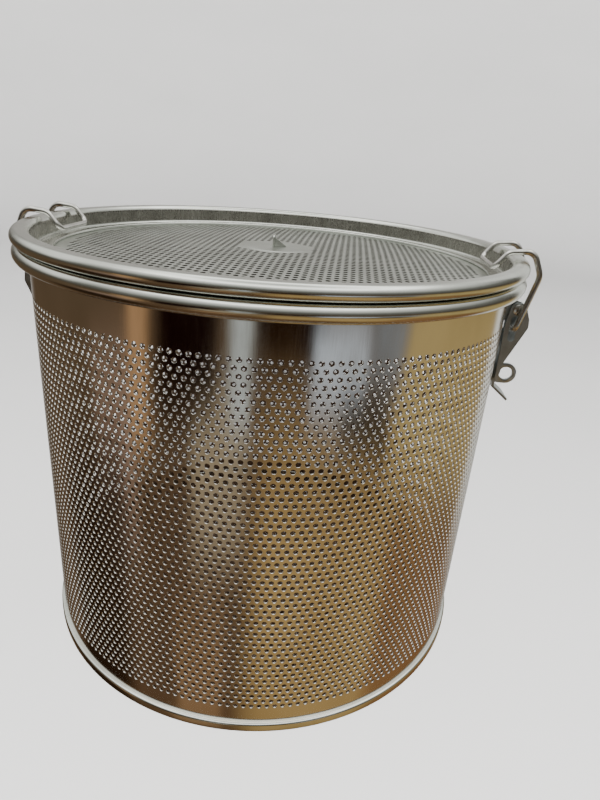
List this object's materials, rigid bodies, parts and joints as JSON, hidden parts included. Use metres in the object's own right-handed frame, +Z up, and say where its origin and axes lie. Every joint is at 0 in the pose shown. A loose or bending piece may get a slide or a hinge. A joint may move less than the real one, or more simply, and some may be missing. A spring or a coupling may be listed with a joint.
{
  "type": "cheese mold",
  "caption": "Perforated steel draining pot with a dished perforated lid held on its rolled rim by opposite draw latches",
  "frame": {"origin": "centre of the pot's bottom, on the surface it stands on", "axes": "+Z up along the pot's axis, +X towards the right latch, -Y towards the viewer"},
  "size_m": [0.2286, 0.2114, 0.1839],
  "materials": {
    "polished_steel": "mirror polished",
    "rim_steel": "polished, rolled",
    "satin_steel": "satin, perforated",
    "latch_steel": "pressed, semi-bright",
    "wire_steel": "drawn wire, bright"
  },
  "bodies": {
    "pot": {"pot_wall": "polished_steel", "pot_rim": "rim_steel", "base_pan": "rim_steel", "right_latch_base": "latch_steel", "right_latch_pin": "wire_steel", "right_latch_rivets": "latch_steel", "left_latch_base": "latch_steel", "left_latch_pin": "wire_steel", "left_latch_rivets": "latch_steel"},
    "lid": {"lid_ring": "rim_steel", "lid_disc": "satin_steel", "lid_tab": "satin_steel"},
    "right_lever": {"right_latch_lever": "latch_steel"},
    "right_bail": {"right_latch_bail": "wire_steel"},
    "left_lever": {"left_latch_lever": "latch_steel"},
    "left_bail": {"left_latch_bail": "wire_steel"}
  },
  "joints": [
    {"name": "lid_turn", "type": "hinge", "parent": "pot", "child": "lid", "pos_m": [0, 0, 0.1751], "axis": [0, 0, 1], "continuous": true},
    {"name": "right_lever", "type": "hinge", "parent": "pot", "child": "right_lever", "pos_m": [0.106, 0, 0.1584], "axis": [0, -1, 0], "range_deg": [0, 140]},
    {"name": "right_bail", "type": "hinge", "parent": "right_lever", "child": "right_bail", "pos_m": [0.1054, 0, 0.15], "axis": [0, 1, 0], "range_deg": [0, 110]},
    {"name": "left_lever", "type": "hinge", "parent": "pot", "child": "left_lever", "pos_m": [-0.106, 0, 0.1584], "axis": [0, 1, 0], "range_deg": [0, 140]},
    {"name": "left_bail", "type": "hinge", "parent": "left_lever", "child": "left_bail", "pos_m": [-0.1054, 0, 0.15], "axis": [0, -1, 0], "range_deg": [0, 110]}
  ],
  "couplings": [
    {"joint": "right_bail", "follows": "right_lever", "ratio": 0.78},
    {"joint": "left_bail", "follows": "left_lever", "ratio": 0.78}
  ]
}
